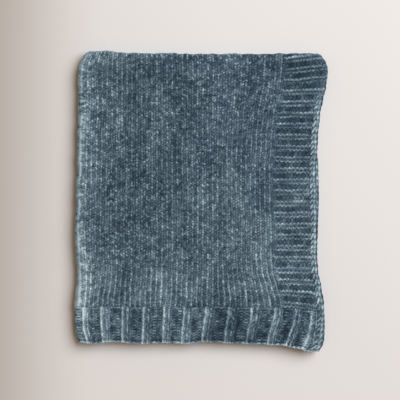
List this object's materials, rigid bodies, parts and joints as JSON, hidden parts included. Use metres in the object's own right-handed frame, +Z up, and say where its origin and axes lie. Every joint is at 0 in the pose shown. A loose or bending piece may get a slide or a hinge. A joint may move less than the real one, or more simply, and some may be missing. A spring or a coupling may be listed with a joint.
{
  "type": "folded knit throw blanket",
  "caption": "Chunky chenille knit throw folded in quarters, with ribbed ends, welted side bands and a chain selvedge, lying flat.",
  "frame": {"origin": "under the middle of the folded throw, on the surface that it lies on", "axes": "+Z up out of the upper face, +Y towards the top fold along the ribs' stitch columns, +X towards the open selvedges"},
  "size_m": [0.6668, 0.787, 0.0408],
  "materials": {
    "chenille_knit": "soft heathered slate-blue chenille yarn, matt with a pile sheen, knitted"
  },
  "bodies": {
    "root": {"knit_throw": "chenille_knit"}
  },
  "joints": []
}
